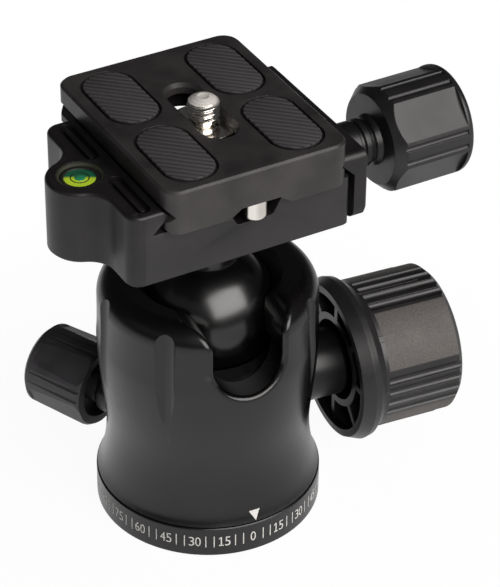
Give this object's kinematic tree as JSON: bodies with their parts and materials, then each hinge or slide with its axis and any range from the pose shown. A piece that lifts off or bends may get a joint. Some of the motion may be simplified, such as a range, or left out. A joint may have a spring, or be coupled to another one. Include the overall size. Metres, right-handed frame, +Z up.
{
  "type": "tripod ball head",
  "caption": "Small tripod ball head with a panning base, a drop notch, a large ball lock knob, a pan lock knob and a screw clamp holding a quick release plate.",
  "frame": {"origin": "centre of the base's underside on the pan axis", "axes": "+Z up along the pan axis, +X towards the clamp knob across the jaws, +Y along the plate's slide"},
  "size_m": [0.088, 0.0641, 0.0934],
  "materials": {
    "anodised_base": "satin black anodised",
    "anodised_housing": "satin black anodised",
    "anodised_clamp": "satin black anodised",
    "anodised_plate": "satin black anodised",
    "anodised_trim": "satin black anodised",
    "polished_ball": "polished black anodised",
    "bright_steel": "bright nickel plated steel",
    "brass": "machined",
    "acetal": "matte black",
    "grained_plastic": "fine grained black",
    "pad_rubber": "matte ribbed",
    "level_case": "smoked",
    "level_liquid": "clear yellow green"
  },
  "bodies": {
    "base": {"base_ring": "anodised_base", "stud_bush": "bright_steel", "pan_washer": "acetal", "pan_retainer": "bright_steel", "retainer_screw": "bright_steel"},
    "housing": {"housing": "anodised_housing", "floor_plate": "anodised_housing", "ball_liner": "acetal", "lock_bush": "anodised_trim", "pan_bush": "anodised_trim"},
    "lock_carriage": {"lock_wedge": "brass"},
    "lock_turner": {"lock_spindle": "bright_steel", "lock_knob": "grained_plastic", "lock_knob_cap": "grained_plastic"},
    "cup": {"ball_cup": "acetal"},
    "pan_brake": {"pan_shoe": "brass"},
    "pan_turner": {"pan_spindle": "bright_steel", "pan_knob": "grained_plastic", "pan_knob_cap": "grained_plastic"},
    "ball_stem": {"ball": "polished_ball"},
    "clamp": {"clamp_body": "anodised_clamp", "stem_screw": "bright_steel", "level_ring": "level_case", "level_vial": "level_liquid"},
    "jaw_slide": {"jaw": "anodised_clamp", "guide_pins": "bright_steel"},
    "clamp_turner": {"clamp_screw": "bright_steel", "clamp_collar": "anodised_trim", "clamp_knob": "grained_plastic", "clamp_knob_cap": "grained_plastic"},
    "plate_slide": {"plate": "anodised_plate", "front_stop_pin": "bright_steel", "rear_stop_pin": "bright_steel", "pad_front_left": "pad_rubber", "pad_front_right": "pad_rubber", "pad_rear_left": "pad_rubber", "pad_rear_right": "pad_rubber"},
    "washer_slide": {"screw_washer": "acetal"},
    "stud_turner": {"camera_screw": "bright_steel"}
  },
  "joints": [
    {"name": "pan_turn", "type": "hinge", "parent": "base", "child": "housing", "pos_m": [0, 0, 0], "axis": [0, 0, 1], "continuous": true},
    {"name": "lock_travel", "type": "slide", "parent": "housing", "child": "lock_carriage", "axis": [0.9952, -0.0976, 0], "range_m": [-0.00063, 0.00063]},
    {"name": "lock_turn", "type": "hinge", "parent": "lock_carriage", "child": "lock_turner", "pos_m": [0, 0, 0.0242], "axis": [0.9952, -0.0976, 0], "range_deg": [-186, 186]},
    {"name": "cup_rise", "type": "slide", "parent": "housing", "child": "cup", "axis": [0, 0, 1], "range_m": [-0.00022948, 0.00022948]},
    {"name": "pan_lock_travel", "type": "slide", "parent": "housing", "child": "pan_brake", "axis": [-0.4368, 0.8996, 0], "range_m": [0, 0.0004]},
    {"name": "pan_lock_turn", "type": "hinge", "parent": "pan_brake", "child": "pan_turner", "pos_m": [0, 0, 0.0139], "axis": [-0.4368, 0.8996, 0], "range_deg": [-4, 184]},
    {"name": "ball_tilt", "type": "hinge", "parent": "housing", "child": "ball_stem", "pos_m": [0, 0, 0.0455], "axis": [0.9952, -0.0976, 0], "range_deg": [-35, 90]},
    {"name": "ball_spin", "type": "hinge", "parent": "ball_stem", "child": "clamp", "pos_m": [0, 0, 0.0455], "axis": [0, 0, 1], "range_deg": [-60, 230]},
    {"name": "jaw_travel", "type": "slide", "parent": "clamp", "child": "jaw_slide", "axis": [1, 0, 0], "range_m": [-0.00019, 0.00358]},
    {"name": "clamp_turn", "type": "hinge", "parent": "jaw_slide", "child": "clamp_turner", "pos_m": [0, 0, 0.0737], "axis": [1, 0, 0], "range_deg": [-74, 1296]},
    {"name": "plate_travel", "type": "slide", "parent": "clamp", "child": "plate_slide", "axis": [0, 1, 0], "range_m": [-0.0082, 0.0027]},
    {"name": "screw_travel", "type": "slide", "parent": "plate_slide", "child": "washer_slide", "axis": [0, 1, 0], "range_m": [-0.006, 0.008]},
    {"name": "screw_turn", "type": "hinge", "parent": "washer_slide", "child": "stud_turner", "pos_m": [0, 0.00175, 0.0897], "axis": [0, 0, 1], "continuous": true}
  ],
  "couplings": [
    {"joint": "lock_turn", "follows": "lock_travel", "rad_per_m": 5026.5},
    {"joint": "cup_rise", "follows": "lock_travel", "ratio": -0.36397},
    {"joint": "pan_lock_turn", "follows": "pan_lock_travel", "rad_per_m": 7854},
    {"joint": "clamp_turn", "follows": "jaw_travel", "rad_per_m": 6283.2}
  ]
}
